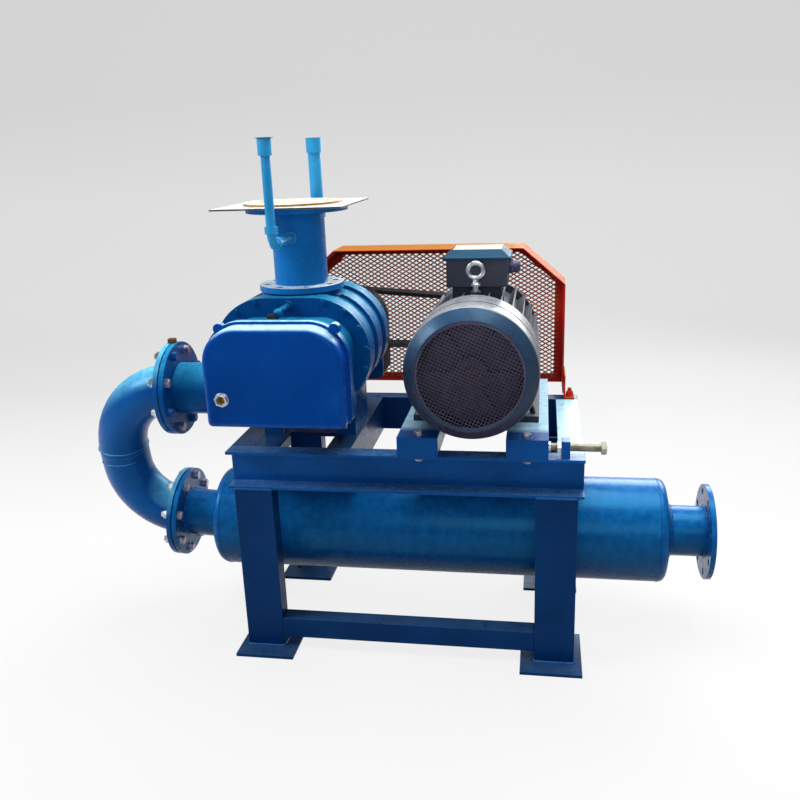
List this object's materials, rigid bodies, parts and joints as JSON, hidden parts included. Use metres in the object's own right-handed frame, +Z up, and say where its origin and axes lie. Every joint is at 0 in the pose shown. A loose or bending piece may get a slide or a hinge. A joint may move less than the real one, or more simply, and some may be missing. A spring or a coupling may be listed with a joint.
{
  "type": "roots blower",
  "caption": "Belt-driven three-lobe blower and electric motor on a welded steel table, with a silencer below, a U-bend between them and a mesh guard over the belts",
  "frame": {"origin": "on the floor, in the middle of the four anchor holes of the foot plates", "axes": "+Z up; +X along the silencer towards its open outlet flange; +Y from the gear case and the motor's fan cowl towards the belts and their guard"},
  "size_m": [1.6745, 0.831, 1.31],
  "materials": {
    "blue_paint": "gloss enamel",
    "blue_casting": "gloss enamel over casting",
    "guard_paint": "gloss enamel",
    "motor_casting": "satin enamel",
    "motor_paint": "satin enamel",
    "motor_aluminium": "satin enamel",
    "zinc_steel": "zinc plated",
    "bare_steel": "mill finish",
    "rusty_steel": "light rust",
    "gear_steel": "ground",
    "bearing_steel": "polished",
    "rotor_iron": "machined",
    "pulley_iron": "satin",
    "core_steel": "laminated",
    "sight_brass": "turned",
    "belt_rubber": "matte",
    "gasket_rubber": "matte",
    "black_plastic": "matte"
  },
  "bodies": {
    "blower_table": {"beam_front": "blue_paint", "beam_rear": "blue_paint", "beam_left": "blue_paint", "beam_right": "blue_paint", "blower_rails": "blue_paint", "legs_front": "blue_paint", "legs_rear": "blue_paint", "foot_plates": "blue_paint", "cross_tie": "blue_paint", "silencer_shell": "blue_paint", "silencer_heads": "blue_paint", "silencer_core": "bare_steel", "silencer_hangers": "blue_paint", "silencer_inlet": "blue_paint", "silencer_outlet": "blue_paint", "bend_lower": "blue_paint", "bend_upper": "blue_paint", "flange_gaskets": "gasket_rubber", "flange_bolts": "zinc_steel", "cylinder": "blue_casting", "gear_end_plate": "blue_casting", "drive_end_plate": "blue_casting", "gear_cover": "blue_casting", "drive_end_cover": "blue_casting", "plate_screws": "blue_paint", "oil_sight_glass": "sight_brass", "oil_filler": "black_plastic", "breather_pipe": "blue_paint", "bearings": "bearing_steel", "shaft_seal": "gasket_rubber", "v_belts": "belt_rubber", "tension_lug": "blue_paint", "tension_locknut": "zinc_steel", "guard_shell": "guard_paint", "guard_mesh": "guard_paint", "guard_brackets": "guard_paint", "intake_pipe": "blue_paint", "cover_plate": "bare_steel", "blank_disc": "rusty_steel", "risers": "blue_paint", "riser_couplings": "blue_paint"},
    "drive_rotor_set": {"drive_rotor": "rotor_iron", "drive_gear": "gear_steel", "blower_pulley": "pulley_iron"},
    "driven_rotor_set": {"driven_rotor": "rotor_iron", "driven_gear": "gear_steel"},
    "motor_carriage": {"motor_rails": "blue_paint", "rail_bolts": "zinc_steel", "motor_frame": "motor_casting", "end_shields": "motor_casting", "fan_cowl": "motor_paint", "stator": "core_steel", "terminal_box": "motor_aluminium", "terminal_lid": "motor_aluminium", "cable_gland": "black_plastic", "eyebolt": "zinc_steel"},
    "motor_rotor": {"motor_shaft": "gear_steel", "motor_fan": "black_plastic", "motor_pulley": "pulley_iron"},
    "tension_screw": {"tension_bolt": "zinc_steel"}
  },
  "joints": [
    {"name": "drive_shaft_spin", "type": "hinge", "parent": "blower_table", "child": "drive_rotor_set", "pos_m": [-0.3375, -0.098, 0.79], "axis": [0, 1, 0], "continuous": true},
    {"name": "driven_shaft_spin", "type": "hinge", "parent": "blower_table", "child": "driven_rotor_set", "pos_m": [-0.1875, -0.098, 0.79], "axis": [0, 1, 0], "continuous": true},
    {"name": "motor_slide", "type": "slide", "parent": "blower_table", "child": "motor_carriage", "axis": [1, 0, 0], "range_m": [-0.006, 0.014], "deforming": ["v_belts"]},
    {"name": "motor_shaft_spin", "type": "hinge", "parent": "motor_carriage", "child": "motor_rotor", "pos_m": [0.177, 0, 0.76805], "axis": [0, 1, 0], "continuous": true},
    {"name": "tension_screw_turn", "type": "hinge", "parent": "motor_carriage", "child": "tension_screw", "pos_m": [0.481, -0.246, 0.584], "axis": [1, 0, 0], "range_deg": [-870, 2020]}
  ],
  "couplings": [
    {"joint": "driven_shaft_spin", "follows": "drive_shaft_spin", "ratio": -1},
    {"joint": "motor_shaft_spin", "follows": "drive_shaft_spin", "ratio": 1.2797},
    {"joint": "tension_screw_turn", "follows": "motor_slide", "rad_per_m": 2513.3}
  ]
}
